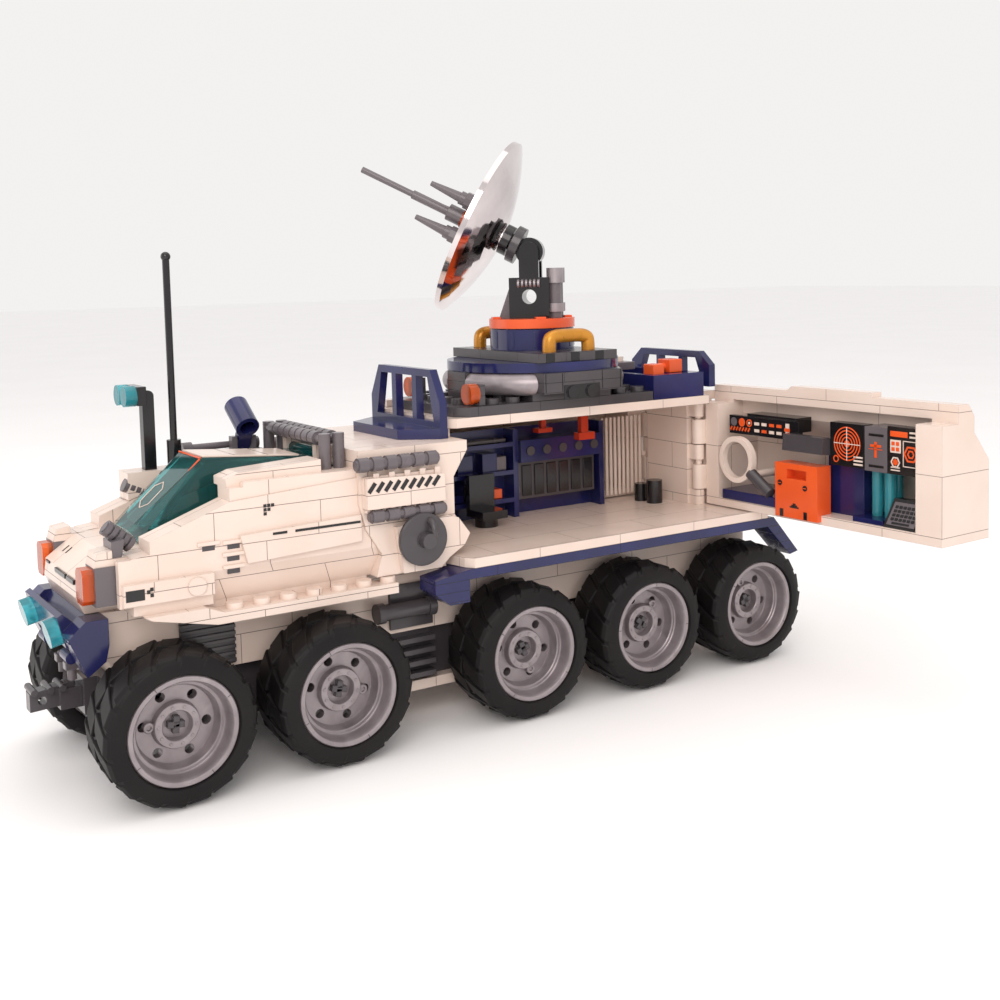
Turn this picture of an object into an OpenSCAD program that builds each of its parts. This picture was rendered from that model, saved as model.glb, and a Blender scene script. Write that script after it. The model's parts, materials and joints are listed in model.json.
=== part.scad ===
// Ten-wheeled planetary rover, a construction-brick toy: cabin in front, a bay behind it with
// two swinging side doors, and a dish on a turntable on the roof.
// Nose toward -Y, the door that stands open on the +X side, floor at z = 0.
// Inside the modules y is counted from the first axle; place() moves all to the box centre.

/* [Brick grid] */
// plate height
plate = 3.2; // [3:0.1:3.3]
// stud radius
stud_r = 2.4; // [2.2:0.05:2.6]
// stud height
stud_h = 1.8; // [1.4:0.1:2]

/* [Wheels] */
// tyre diameter
tyre_d = 43.2; // [42:0.1:43.8]
// tyre width
tyre_w = 22; // [20:0.5:23]
// rim diameter
rim_d = 30.2; // [29:0.1:31]
// rim width
rim_w = 20; // [18:0.5:20.5]
// distance between the two tyre centres of an axle
track = 67; // [66:0.5:72]
// axle diameter
axle_d = 4.8; // [4.6:0.1:5]
// radial running clearance of an axle in its bore
axle_gap = 0.05; // [0.02:0.01:0.1]

/* [Body] */
// half width of the bay deck and of the closed doors
body_half = 40; // [38:0.5:42]
// half width of the hull between the wheels
hull_half = 20; // [18:0.5:21]
// half width of the cabin sides
cabin_half = 30; // [29:0.5:31]
// half width of the roof panel
roof_half = 24; // [23:0.5:24.5]
// height of the deck top in the bay
deck_top = 54.4; // [54:0.1:55]
// height of the roof top
roof_top = 96; // [95:0.1:98]
// front edge of the door openings
bay_front = 97; // [96.6:0.2:98]
// rear end of the roof and of the deck
body_rear = 216; // [214:0.5:218]

/* [Doors] */
// wall thickness of a door tray
door_wall = 3.2; // [2.4:0.1:4]
// depth of a door tray
door_deep = 23.6; // [22:0.2:24]
// clearance of a door above the deck and below the roof
door_gap = 0.4; // [0.3:0.05:0.6]
// height of the door crest above the roof
door_crest = 4; // [3.2:0.1:4.8]
// swing of the left door in the modelled position, degrees
door_open = 92; // [0:1:95]
// hinge pin radius
pin_r = 1.2; // [1:0.1:1.3]
// radial running clearance of the small pins
pin_gap = 0.05; // [0.02:0.01:0.1]
// hinge pin distance from the centre plane
hinge_x = 15; // [14.8:0.1:15.2]
// hinge pin position along the vehicle
hinge_y = 205; // [204:0.5:206]

/* [Canopy and telescope] */
// windscreen glass thickness
glass_t = 1.6; // [1.2:0.1:2]
// telescope tilt in the modelled position, degrees
scope_tilt = 33; // [0:1:40]

/* [Dish] */
// dish diameter
dish_d = 64; // [56:1:70]
// dish shell thickness
dish_t = 1.8; // [1.4:0.1:2.4]
// turret centre behind the first axle
turret_y = 142; // [140:1:144]
// turn of the turret in the modelled position, degrees
turret_turn = 40; // [0:1:60]
// tilt of the dish axis above level in the modelled position, degrees
dish_tilt = 27; // [10:1:35]
// height of the tilt axis
tilt_z = 149; // [148:0.5:151]

/* [Antenna] */
// whip antenna height
whip_h = 66; // [50:1:80]

/* [Hidden] */
$fn = 48;
axles = [0, 48, 112, 160, 208];
axle_z = tyre_d / 2;
axle_r = axle_d / 2;
rim_r = rim_d / 2;
wheel_x = track / 2;
tow_tip = -30;
rear_tip = 231;
door_x = 16.4;
door_front = bay_front;
door_back = hinge_y + 1;
// limits of the whole rover, which set its origin
x_low = -wheel_x - tyre_w / 2;
open_a = door_open;
near_dx = door_x - hinge_x;
far_dx = door_x + door_deep - hinge_x;
far_dy = door_front - hinge_y;
x_high = max(hinge_x + max(near_dx * cos(open_a), far_dx * cos(open_a)) - far_dy * sin(open_a),
  wheel_x + tyre_w / 2);
y_high = max(hinge_y + far_dx * sin(open_a) + max(far_dy * cos(open_a), cos(open_a)), rear_tip);
x_mid = (x_low + x_high) / 2;
y_mid = (tow_tip + y_high) / 2;
deck_low = deck_top - plate;
skirt_low = deck_low - plate;
roof_low = roof_top - plate;
door_low = deck_top + door_gap;
door_inner = roof_low - door_gap;
door_top = roof_top + 2.4;
crest_top = roof_top + door_crest;
nose_x = 18;
ring_low = roof_top + 12.8;
plat_low = ring_low + plate;
drum_low = plat_low + plate;
drum_top = drum_low + 7.2;
orange_low = drum_top + 0.3;
orange_top = orange_low + plate;
crest_front = door_front + 34;
crest_back = door_front + 70;
scope_x = -23.1;
scope_y = 44;
scope_z = 89.4;

// ---- shapes used by several pieces ----

module place() {
  translate([-x_mid, -y_mid, 0]) children();
}

module box(a, b) {
  translate(a) cube(b - a);
}

module both() {
  children();
  mirror([1, 0, 0]) children();
}

// a Y-Z outline pushed along X
module side(x0, x1, pts) {
  translate([x0, 0, 0])
    rotate([90, 0, 90])
      linear_extrude(x1 - x0) polygon(pts);
}

// an X-Z outline pushed along Y
module section(y0, y1, pts) {
  translate([0, y1, 0])
    rotate([90, 0, 0])
      linear_extrude(y1 - y0) polygon(pts);
}

// an X-Y outline pushed up
module plan(z0, z1, pts) {
  translate([0, 0, z0]) linear_extrude(z1 - z0) polygon(pts);
}

module rod_x(x0, x1, y, z, r) {
  translate([x0, y, z]) rotate([0, 90, 0]) cylinder(h = x1 - x0, r = r);
}

module rod_y(y0, y1, x, z, r) {
  translate([x, y0, z]) rotate([-90, 0, 0]) cylinder(h = y1 - y0, r = r);
}

module rod_z(z0, z1, x, y, r) {
  translate([x, y, z0]) cylinder(h = z1 - z0, r = r);
}

module studs(xs, ys, z) {
  for (x = xs)
    for (y = ys)
      rod_z(z, z + stud_h, x, y, stud_r);
}

// a row of ribs on a rod along Y
module ribbed_y(y0, y1, x, z, r, n) {
  step = (y1 - y0) / n;
  rod_y(y0, y1, x, z, r * 0.72);
  for (i = [0 : n - 1])
    rod_y(y0 + step * (i + 0.14), y0 + step * (i + 0.86), x, z, r);
}

// ---- wheels ----

module rim_half() {
  r = rim_r;
  w = rim_w / 2;
  difference() {
    rotate([0, 90, 0])
      rotate_extrude()
        polygon([[0, 1.2], [3.6, 1.2], [3.6, 3.6], [6.4, 3.6], [6.4, 1.2], [r - 4.2, 1.2],
          [r - 3.6, 4.2], [r - 2.4, 4.6], [r - 1.9, w - 1], [r - 1.2, w], [r, w], [r, -w],
          [r - 1.4, -w], [r - 2.8, -1.6], [0, -1.6]]);
    for (a = [0 : 60 : 300])
      rotate([a, 0, 0]) rod_x(-4, 5, 0, 8.7, 1.35);
  }
  rotate([200, 0, 0]) rod_x(1, 3.2, 0, 7.4, 1.2);
}

module wheels(i) {
  color("silver")
  translate([0, axles[i], axle_z]) {
    both() translate([wheel_x, 0, 0]) rim_half();
    rod_x(-wheel_x, wheel_x, 0, 0, axle_r);
  }
}

module tyres(i) {
  r = tyre_d / 2;
  w = tyre_w / 2;
  h = rim_w / 2;
  color("#1c1b1d")
  translate([0, axles[i], axle_z])
    both()
      translate([wheel_x, 0, 0])
        rotate([0, 90, 0])
          rotate_extrude()
            polygon([[rim_r, -h], [rim_r, h], [rim_r + 0.6, w], [r - 3.4, w], [r - 1.2, w - 0.9],
              [r, w - 3.2], [r, 3.2 - w], [r - 1.2, 0.9 - w], [r - 3.4, -w], [rim_r + 0.6, -w]]);
}

// ---- hull ----

module chassis() {
  color("#4a474b")
  difference() {
    union() {
      box([-16, -12, 13], [16, 222, 29.6]);
      box([-5, -16, 19], [5, -12, 29.6]);
    }
    for (y = axles)
      rod_x(-17, 17, y, axle_z, axle_r + axle_gap);
  }
}

module lower_hull() {
  color("#efe6e0") {
    side(-hull_half, hull_half, [[-14, 40], [-9, 29.6], [222, 29.6], [222, deck_low],
      [-14, deck_low]]);
    side(-hull_half, hull_half, [[70, 9.8], [218, 9.8], [224, 13], [64, 13]]);
  }
}

// tanks, ladders and ribbed grilles hung on the lower hull
module under_gear() {
  color("#4d4a4f")
  both() {
    side(hull_half, hull_half + 0.8, [[7, 30.6], [23, 30.6], [23, 45], [7, 45]]);
    for (i = [0 : 6])
      box([hull_half + 0.8, 7, 31.2 + 2 * i], [hull_half + 1.6, 23, 32.2 + 2 * i]);
    box([hull_half, 73, 31], [hull_half + 1, 88, 45]);
    rod_y(68, 86, hull_half + 3.4, 37.6, 2.6);
    rod_y(67, 69.5, hull_half + 3.4, 37.6, 3.2);
    rod_y(84.5, 87, hull_half + 3.4, 37.6, 3.2);
    box([16, 72, 14], [18.6, 88, 29.6]);
    for (i = [0 : 3])
      box([18.6, 72, 14.6 + 3.8 * i], [22.4, 88, 16.2 + 3.8 * i]);
  }
}

module skirts() {
  color("#25244f")
  both() {
    box([hull_half, 91, skirt_low], [body_half, 219, deck_low]);
    side(30, body_half, [[219, deck_low], [219, skirt_low], [216, skirt_low], [227, 36.4],
      [rear_tip, 37.2]]);
    side(30, body_half, [[91, deck_low], [79, deck_low - 2], [79, 45], [84, 41], [91, 41]]);
    box([22, 222, skirt_low - 3.2], [30, 226, skirt_low]);
    box([22, 216, skirt_low - 3.2], [26, 222, skirt_low]);
    box([30, 222, skirt_low - 3.2], [31, 226, skirt_low - 0.6]);
  }
}

module bay_deck() {
  color("#f2e9e3") {
    plan(deck_low, deck_top, [[-body_half, 93], [-body_half + 3, 91], [-hull_half, 88],
      [hull_half, 88], [body_half - 3, 91], [body_half, 93], [body_half, body_rear],
      [-body_half, body_rear]]);
  }
}

// ---- nose ----

module hood() {
  color("#f2e9e3") {
    side(-nose_x, nose_x, [[-18, deck_low], [-20, 56], [-19.4, 61], [-11, 67], [2, 67.6],
      [2, deck_low]]);
    both()
      side(nose_x, 26.4, [[-17, 65.2], [-16, 68.8], [-12, 69.4], [-12, 67.2], [-8, 67.2],
        [-8, 65.2]]);
  }
}

// grey housings behind the headlamps and the ribbed rolls in front of the windscreen
module nose_trim() {
  color("#7a7479")
  both() {
    box([nose_x, -17, 54.6], [27, -8, 65.2]);
  }
  color("#7a7479") {
    side(nose_x, 26, [[-12, 67.2], [-9.4, 67.2], [-8.4, 72], [-12, 71.6]]);
    translate([21.8, -12.6, 75.4])
      rotate([-41, 0, 0])
        ribbed_y(0, 9.4, 0, 0, 2.2, 5);
  }
}

module amber_lamps() {
  color("#e8641c") {
    both() {
      translate([22.4, -17, 60])
        rotate([90, 0, 0])
          linear_extrude(3)
            polygon([[-3.6, -3.6], [-2.4, -4.8], [2.4, -4.8], [3.6, -3.6], [3.6, 3.6], [2.4, 4.8],
              [-2.4, 4.8], [-3.6, 3.6]]);
      rod_y(103, 106.4, 20, roof_top + 7, 3.4);
    }
  }
}

module bumper() {
  color("#2a2a58") {
    side(-19, 19, [[-20, 48.6], [-24, 52.4], [-25.4, 51.6], [-23.4, 43], [-19, 38.6], [-14, 41],
      [-18, deck_low]]);
    both() {
      side(19, 27, [[-14, deck_low], [-20, deck_low], [-24.6, 47], [-20, 36], [-15, 39.6],
        [-14, 44]]);
    }
  }
}

module teal_lamps() {
  color("#2a9aa8") {
    both()
      translate([14.4, -24.333, 47.011])
        rotate([103.09, 0, 0])
          cylinder(h = 3, r = 4);
    for (x = [-27.8, -20.6])
      rod_y(6, 9.4, x, 106.5, 3.2);
  }
}

module tow_arm() {
  color("#4a474b") {
    box([-3, -22, 21], [3, -16, 27]);
    difference() {
      side(-2.4, 2.4, [[-18, 22.4], [tow_tip, 21.8], [tow_tip, 27], [-18, 28.6]]);
      rod_x(-3, 3, -26.6, 24.6, 1.2);
    }
    for (y = [-29, -24.6, -21.4])
      rod_x(-4.4, 4.4, y, 27.6, 1);
  }
}

module sponsons() {
  color("#f2e9e3")
  both() {
    // stacked outer side of the cabin
    difference() {
      side(hull_half, cabin_half, [[-8, deck_low], [64, deck_low], [66, 58], [61, 66], [59, 73.8],
        [59, 82], [20, 79.4], [-3, 71], [-3, 67.6], [-8, 67]]);
      section(14, 67, [[25.6, deck_low - 1], [31, deck_low - 1], [31, 60.4], [30, 60.4]]);
    }
    side(nose_x, hull_half, [[-8, deck_low], [2, deck_low], [2, 67.6], [-8, 67]]);
    side(27.4, cabin_half, [[-11.6, 53.8], [-8, 53.8], [-8, 66.8], [-11.6, 66.8]]);
    side(cabin_half, cabin_half + 1.8, [[-11, 54.4], [14, 54.4], [14, 60.4], [-11, 60.4]]);
    side(cabin_half, cabin_half + 1.4, [[24, 61.4], [59.4, 63], [59.4, 71], [22, 69.6]]);
    side(hull_half, 26, [[-6, deck_low], [-4, 50], [14, 46], [63, 46], [63, deck_low]]);
    side(26, 33.4, [[-6, deck_low], [-4, 50], [14, 46], [70, 46], [70, 49.2], [16, 49.2],
      [11, deck_low]]);
    studs([30], [20 : 8 : 68], 49.2);
    rod_x(cabin_half + 1.8, cabin_half + 2.4, 9, 57.4, 2.6);
  }
}

module side_panels() {
  color("#f2e9e3")
  both() {
    side(20, 31, [[66, 58], [64, deck_low], [87.8, deck_low], [87.8, deck_top], [94, 57.6], [96, 61],
      [91.4, 67], [91.4, 79], [96.4, 87], [96.4, 90], [59, 90], [59, 73.8], [61, 66]]);
    side(31, 33.4, [[72, 51.6], [85, 51.6], [88, deck_top], [93.4, 57.6], [95.4, 61],
      [91.4, 66.4], [88, 67.6], [70, 66]]);
    side(31, 34.6, [[60, 72.6], [86.4, 72.6], [86.4, 81], [60, 82]]);
  }
}

module side_rollers() {
  color("#7a7479")
  both() {
    ribbed_y(57, 84.6, 33.2, 86, 2.2, 6);
    for (y = [61, 80])
      box([31, y, 85], [32.4, y + 1.6, 87]);
    for (y = [63, 82])
      box([31, y, 69.4], [32.4, y + 1.6, 71]);
    ribbed_y(61, 86.8, 33.2, 70.2, 2, 5);
  }
}

module round_hatches() {
  color("#6a6468")
  both() {
    translate([33.4, 77.5, 61.8])
      rotate([0, 90, 0])
        rotate_extrude()
          polygon([[0, 0], [4, 0], [8, 2], [8, 3], [3, 4], [0, 4]]);
    rod_x(37.4, 40.4, 77.5, 61.8, 2.4);
  }
}

// ---- cabin ----

module cockpit() {
  color("#2b292d") {
    box([-16.2, 2, deck_low], [16.2, 66, 57.6]);
    box([-12, 2, 57.6], [12, 9, 64.6]);
    side(-7, 7, [[34, 57.6], [44, 57.6], [44, 62], [34, 62]]);
    side(-7, 7, [[44, 57.6], [47, 57.6], [49, 76], [46, 76], [44, 62]]);
    box([-16.2, 61, 57.6], [16.2, 66, 84]);
  }
}

// cabin walls beside the windscreen and the white tiles on top of them
module shoulders() {
  color("#f2e9e3") {
    both() {
      side(16.2, hull_half, [[2, deck_low], [59, deck_low], [59, 84], [46, 83], [2, 68.4]]);
      side(hull_half, cabin_half - 0.6, [[20, 79.4], [59, 82], [59, 84.4], [24.2, 84.4],
        [24, 83], [20, 83]]);
      difference() {
        box([10.4, 53.6, 84.6], [13, 59, 90.6]);
        rod_x(10, 14, 56.2, 87.6, 1.6 + pin_gap);
      }
    }
    side(-cabin_half + 0.6, -hull_half, [[6, 74.5], [20, 79.6], [20, 83], [6, 83]]);
    side(hull_half - 3, cabin_half - 3, [[20, 83], [24, 83], [24.2, 84.4], [49, 84.4], [49, 88.2],
      [24, 86.8], [20, 85.4]]);
    box([-hull_half, 59, 84], [hull_half, 84, 90]);
  }
}

module canopy() {
  color("#1f8f8f", 0.5) {
    difference() {
      canopy_form(0);
      canopy_form(glass_t);
    }
    rod_x(-13, 13, 56.2, 87.6, 1.6);
    box([-9.4, 49.6, 85.4], [9.4, 56.2, 87.4]);
  }
}

// outer form of the windscreen, or the same drawn in by t
module canopy_form(t) {
  e = t * 1.2;
  polyhedron(
    points = [
      [-14.6 + e, -1.4 + e, 68.4 - 2 * t], [14.6 - e, -1.4 + e, 68.4 - 2 * t],
      [15.6 - e, 46 + t, 84.6 - 2 * t], [-15.6 + e, 46 + t, 84.6 - 2 * t],
      [-6 + e, -2 + 2 * e, 70.6 - t], [6 - e, -2 + 2 * e, 70.6 - t],
      [9.6 - e, 19 + t, 89.6 - t], [-9.6 + e, 19 + t, 89.6 - t],
      [9.6 - e, 51 + t, 87 - t], [-9.6 + e, 51 + t, 87 - t]],
    faces = [[0, 1, 2, 3], [4, 5, 1], [4, 1, 0], [4, 7, 6], [4, 6, 5], [5, 6, 1], [7, 4, 0],
      [1, 6, 8], [1, 8, 2], [0, 9, 7], [0, 3, 9], [7, 9, 8], [7, 8, 6], [3, 2, 8], [3, 8, 9]]);
}

// ---- bay ----

// front wall of the bay with its door frame posts
module bulkhead() {
  color("#efe6e0") {
    difference() {
      box([-hull_half, 84, deck_top], [hull_half, 94, 90]);
      box([-8, 80, deck_top + 3.2], [8, 95, 86]);
    }
    box([-hull_half, 94, 87.4], [hull_half, 96.6, roof_low]);
    both() box([16.2, 66, deck_top], [hull_half, 84, 84]);
  }
}

// rear wall of the bay, its tail and the fixed pins of both door hinges
module rear_wall() {
  color("#efe6e0") {
    box([-11.8, 202, deck_top], [11.8, body_rear - 1.6, roof_low]);
    both() {
      for (z = [deck_top, 71.2, roof_low - 5.6])
        box([11.8, hinge_y - 2, z], [hinge_x, hinge_y + 2, z + 5.6]);
      for (z = [deck_top, 71.2, roof_low - 5.6])
        rod_z(z, z + 5.6, hinge_x, hinge_y, 2);
      rod_z(deck_top, roof_low, hinge_x, hinge_y, pin_r);
    }
  }
}

module roof_panel() {
  color("#f2e9e3")
  plan(roof_low, roof_top, [[3 - roof_half, 94], [roof_half - 3, 94], [roof_half, 97],
    [roof_half, 202.6], [11.8, 202.6], [11.8, body_rear], [-11.8, body_rear], [-11.8, 202.6],
    [-roof_half, 202.6], [-roof_half, 97]]);
}

// tray door in its closed position on the left side
module door_tray() {
  x0 = door_x;
  d = door_deep;
  w = door_wall;
  y0 = door_front;
  y1 = door_back;
  lug = [deck_top + 5.9, 71.2 + 5.9];
  difference() {
    union() {
      difference() {
        section(y0, y1, [[x0, door_low], [x0 + d, door_low], [x0 + d, 80], [x0 + 16, 89.2],
          [x0 + 16, 94.4], [x0 + 13, door_top], [x0 + 8, door_top], [x0 + 8, door_inner],
          [x0, door_inner]]);
        section(y0 + 10, y1 - 10, [[x0 - 1, door_low + w], [x0 + d - w, door_low + w],
          [x0 + d - w, 78.8], [x0 + 16 - w, 88], [x0 + 16 - w, 93.4], [x0 + 8 - 0.8, 93.4],
          [x0 + 7.2, door_inner + 1], [x0 - 1, door_inner + 1]]);
      }
      side(x0 + 8, x0 + 12.8, [[crest_front, 95], [crest_front, crest_top],
        [crest_back, crest_top], [crest_back + 6.4, 95]]);
    }
    rod_z(deck_top - 1, roof_top, hinge_x, hinge_y, 2.9);
  }
  for (z = lug)
    difference() {
      union() {
        rod_z(z, z + 9, hinge_x, hinge_y, 2.4);
        box([hinge_x, hinge_y - 2.4, z], [x0 + 6, hinge_y + 1, z + 9]);
      }
      rod_z(z - 1, z + 10, hinge_x, hinge_y, pin_r + pin_gap);
    }
}

// turns a piece given for the closed left door to its open place
module swung(a) {
  translate([hinge_x, hinge_y, 0])
    rotate([0, 0, a])
      translate([-hinge_x, -hinge_y, 0]) children();
}

module side_door() {
  color("#f2e9e3")
  swung(open_a) door_tray();
}

module right_door() {
  color("#f2e9e3")
  mirror([1, 0, 0]) door_tray();
}

// ---- bay furniture ----

module bay_shelves() {
  color("#232a5c") {
    box([-15.8, 98, deck_top], [-14.6, 179, 86]);
    for (y = [99, 138, 176])
      box([-15.8, y, deck_top], [-8, y + 2, 86]);
    for (z = [60, 70, 80])
      box([-15.8, 101, z], [-8, 138, z + 1.6]);
    box([-15.8, 140, 74], [-6, 176, 82]);
    for (y = [106, 116, 126])
      box([-15.2, y, 71.6], [-9.4, y + 6, 78]);
  }
}

module bay_chair() {
  color("#1d1c1f") {
    rod_z(deck_top, 57.6, -1, 122, 4);
    box([-6, 117, 57.6], [5, 127, 60.4]);
    box([-6, 117, 60.4], [-3.6, 127, 72]);
    rod_z(deck_top, 63, 2, 194, 3);
    rod_z(deck_top, 61, -5, 193, 2.4);
  }
}

module bay_tools() {
  color("#c8261c") {
    box([1, 160, 84], [3.4, 163, roof_low]);
    box([0.6, 158.6, 81.4], [3.8, 165.6, 84]);
    box([-6, 148, 86], [-4.4, 150, roof_low]);
    box([-7, 146, 84.4], [-3.4, 152, 86]);
  }
}

// ---- roof ----

module roof_deck() {
  color("#4d4a4f") {
    plan(roof_top, roof_top + plate, [[4 - roof_half, 98], [roof_half - 4, 98],
      [roof_half, 102], [roof_half, 176.6], [-roof_half, 176.6], [-roof_half, 102]]);
    studs([-20, -12, 12, 20], [112.6, 120.6, 164.6, 172.6], roof_top + plate);
    studs([-12, -4, 4, 12], [104.6], roof_top + plate);
    box([-11.4, 203.6, roof_top], [11.4, 206.4, roof_top + 2.8]);
  }
}

module rail_frame(y0, y1, z0, z1, h) {
  m = 3.2;
  difference() {
    section(y0, y1, [[-h, z0], [h, z0], [h, z0 + 8], [h - 6, z1], [6 - h, z1], [-h, z0 + 8]]);
    for (x = [-h + m + 1, -5.6, h - m - 12.2])
      section(y0 - 1, y1 + 1, [[x, z0 + 2], [x + 11.2, z0 + 2],
        [x + 11.2 - (x > 0 ? 3.6 : 0), z1 - 2.4], [x + (x < -10 ? 3.6 : 0), z1 - 2.4]]);
  }
}

module railings() {
  color("#262650") {
    plan(90, 93.2, [[-16, 80], [16, 80], [roof_half, 91], [roof_half, 93.8], [-roof_half, 93.8],
      [-roof_half, 91]]);
    rail_frame(91, 93.6, 93.2, roof_top + 15.6, roof_half);
    rail_frame(203.6, 206.4, roof_top + 2.8, roof_top + 15.6, 23);
  }
}

// ring pipe round the turret, cut where the base blocks stand
module roof_pipes() {
  rr = 28;
  color("#8f898d")
  difference() {
    translate([0, turret_y, ring_low - 3.8])
      rotate_extrude()
        translate([rr, 0]) circle(r = 3.8);
    box([-40, turret_y - 16, roof_top], [40, turret_y + 16, roof_top + 20]);
    box([-6, turret_y - 40, roof_top], [6, turret_y + 40, roof_top + 20]);
  }
}

module turret_base() {
  color("#5a5659") {
    box([-roof_half, turret_y - 16, roof_top + plate], [roof_half, turret_y + 16, ring_low]);
    both()
      box([roof_half, turret_y - 16, roof_top + 6], [31, turret_y + 16, ring_low]);
    box([-6, turret_y - 31, roof_top + plate], [6, turret_y - 16, ring_low]);
    box([-6, turret_y + 16, roof_top + plate], [6, turret_y + 31, ring_low]);
    both() box([17.4, 106.4, roof_top + plate], [22.6, 108.6, roof_top + 10]);
    box([-28, turret_y - 16, plat_low], [28, turret_y + 16, drum_low]);
  }
}

module turret_rings() {
  color("#262650") {
    difference() {
      rod_z(ring_low, plat_low, 0, turret_y, 30);
      rod_z(ring_low - 1, plat_low + 1, 0, turret_y, 12);
    }
    difference() {
      rod_z(drum_low, drum_top, 0, turret_y, 14.6);
      rod_z(drum_top - 5.6, drum_top + 1, 0, turret_y, 2.4 + pin_gap);
    }
  }
}

module roof_handles() {
  color("#d08a1e")
  for (x = [-22.4, 22.4]) {
    for (y = [-8, 8])
      rod_z(drum_low, drum_low + 3.6, x, turret_y + y, 2.2);
    rod_y(turret_y - 8, turret_y + 8, x, drum_low + 3.6, 2.2);
    for (y = [-8, 8])
      translate([x, turret_y + y, drum_low + 3.6]) sphere(r = 2.2);
  }
}

module rear_box() {
  color("#262650") {
    difference() {
      box([-roof_half, 177, roof_top], [roof_half, 200, roof_top + 8.6]);
      box([-20, 180, roof_top + 3.2], [20, 197, roof_top + 10]);
    }
  }
}

// ---- roof fittings beside the canopy ----

module hose_arches() {
  color("#857f84")
  for (y = [52.5, 57]) {
    ribbed_x(-18, 18, y, 93.2, 2.1, 8);
    rod_x(-22, 22, y, 93.2, 1.4);
    for (x = [-22, 22])
      rod_z(84.4, 95, x, y, 1.8);
  }
}

// a row of ribs on a rod along X
module ribbed_x(x0, x1, y, z, r, n) {
  step = (x1 - x0) / n;
  rod_x(x0, x1, y, z, r * 0.7);
  for (i = [0 : n - 1])
    rod_x(x0 + step * (i + 0.1), x0 + step * (i + 0.9), y, z, r);
}

module lamp_mast() {
  color("#1f1d20") {
    box([-26, 12.2, 83], [-22.4, 15.8, 106]);
    rod_x(-26, -22.4, 14, 106, 1.8);
    box([-30.6, 9.4, 103.6], [-17.8, 12.2, 109.4]);
  }
}

module whip_antenna() {
  color("#1f1d20") {
    rod_z(83, 92, -21, 21, 2.2);
    rod_z(92, 83 + whip_h, -21, 21, 1.1);
    translate([-21, 21, 83 + whip_h]) sphere(r = 1.5);
  }
}

module roof_bar() {
  color("#6a6669") {
    box([-29.4, 25, 84.4], [-19, 50.6, 86.4]);
    for (y = [25.4, 47.6])
      rod_y(y, y + 3, -27.2, 88, 1.9);
    rod_y(28, 48, -27.2, 88, 1.1);
    for (u = [-4, 2.3])
      box([scope_x - 1.6, scope_y + u, 86], [scope_x + 1.6, scope_y + u + 1.7, scope_z + 1.6]);
    rod_y(scope_y - 4, scope_y + 4, scope_x, scope_z, pin_r);
  }
}

module telescope() {
  color("#262650")
  translate([scope_x, scope_y, scope_z])
    rotate([0, scope_tilt, 0])
      difference() {
        union() {
          rod_x(-10, 1.8, 0, 6.6, 3.8);
          box([-2, -2, -1.8], [2, 2, 4]);
        }
        rod_x(-7, 3, 0, 6.6, 2.4);
        rod_y(-5, 5, 0, 0, pin_r + pin_gap);
      }
}

// ---- turret ----

module on_turret() {
  translate([0, turret_y, 0]) rotate([0, 0, -turret_turn]) children();
}

module on_tilt() {
  on_turret()
    translate([0, 0, tilt_z])
      rotate([90 - dish_tilt, 0, 0]) children();
}

module turntable() {
  color("#f05a28")
  on_turret() {
    rod_z(orange_low, orange_top, 0, 0, 15);
    rod_z(drum_top - 5.2, orange_low, 0, 0, 2.4);
  }
}

module dish_bracket() {
  color("#6a666b")
  on_turret() {
    difference() {
      union() {
        box([-6.2, -7, orange_top], [6.2, 7, 140]);
        side(-4, 4, [[-11, orange_top], [-7, orange_top], [-7, 137]]);
        both() {
          box([3.8, -3.4, 140], [6.2, 3.4, tilt_z]);
          rod_x(3.8, 6.2, 0, tilt_z, 3.4);
        }
      }
      rod_x(-7, 7, 0, 133.4, 2.5);
    }
    rod_x(-4, 4, 0, tilt_z, 1.6);
    for (x = [-3, 3])
      rod_z(orange_top, 143, x, 8.7, 2.2);
    for (z = [127, 136])
      box([-3, 7, z], [3, 9.6, z + 2.6]);
  }
}

module dish_arm() {
  color("#1f1d20")
  on_tilt()
    difference() {
      union() {
        rod_x(-3.4, 3.4, 0, 0, 4.8);
        rod_z(0, 8, 0, 0, 3);
        rod_z(7.6, 10.6, 0, 0, 5.4);
      }
      rod_x(-4, 4, 0, 0, 1.6 + pin_gap);
    }
}

// radius and depth of the bowl follow one arc
function bowl(r, z) = [r, z + 8 * pow(r / (dish_d / 2), 2)];

module dish() {
  color("#d8d4d6")
  on_tilt()
    rotate_extrude($fn = 72)
      polygon(concat([[0, 10.6], [4, 10.6]],
        [for (i = [1 : 8]) bowl(dish_d / 2 * i / 8, 11)],
        [for (i = [8 : -1 : 1]) bowl(dish_d / 2 * i / 8, 11 + dish_t)],
        [[0, 11.125 + dish_t]]));
}

module dish_feed() {
  z0 = 11.125 + dish_t;
  color("#7d777c")
  on_tilt() {
    rod_z(z0, 30, 0, 0, 2.6);
    rod_z(30, 46, 0, 0, 1.6);
    rod_z(46, 66, 0, 0, 1.1);
    for (a = [60, 180, 300])
      rotate([0, 0, a]) {
        rod_z(z0 + 1, 27, 7.4, 0, 2);
        box([0, -1, 22], [7.4, 1, 24.4]);
        translate([7.4, 0, 27]) cylinder(h = 14, r1 = 2, r2 = 0.9);
      }
  }
}

// ---- door fittings, given for the closed left door ----

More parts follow.
